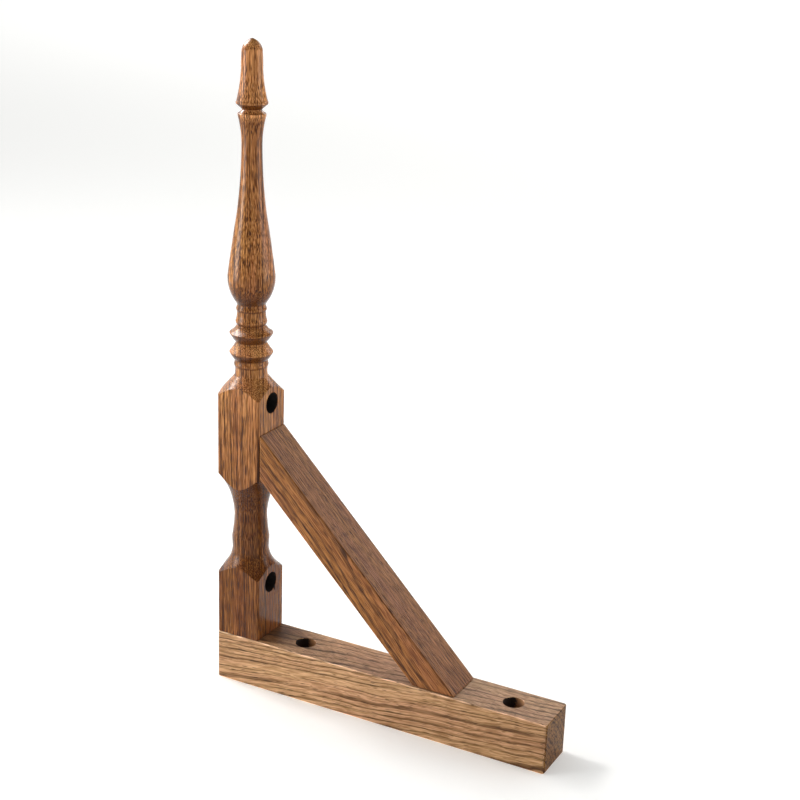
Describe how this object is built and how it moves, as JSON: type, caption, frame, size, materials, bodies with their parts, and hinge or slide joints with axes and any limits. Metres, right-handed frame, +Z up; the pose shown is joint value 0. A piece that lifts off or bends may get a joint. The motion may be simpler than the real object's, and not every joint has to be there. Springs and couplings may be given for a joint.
{
  "type": "shelf bracket",
  "caption": "Oak shelf bracket: a turned post with a finial and square blocks, a square arm, a 45 degree brace between them, and counterbored screw holes in post and arm.",
  "frame": {"origin": "middle of the arm's underside, which is the bottom centre of the bounding box", "axes": "+X along the arm, away from the wall; +Z up the post, towards its finial; +Y across the arm; the wall face is at -X"},
  "size_m": [0.212, 0.0284, 0.375],
  "materials": {
    "turned_oak": "satin oiled",
    "planed_oak": "satin oiled",
    "sanded_oak": "satin oiled"
  },
  "bodies": {
    "root": {"turned_post": "turned_oak", "shelf_arm": "planed_oak", "diagonal_brace": "sanded_oak"}
  },
  "joints": []
}
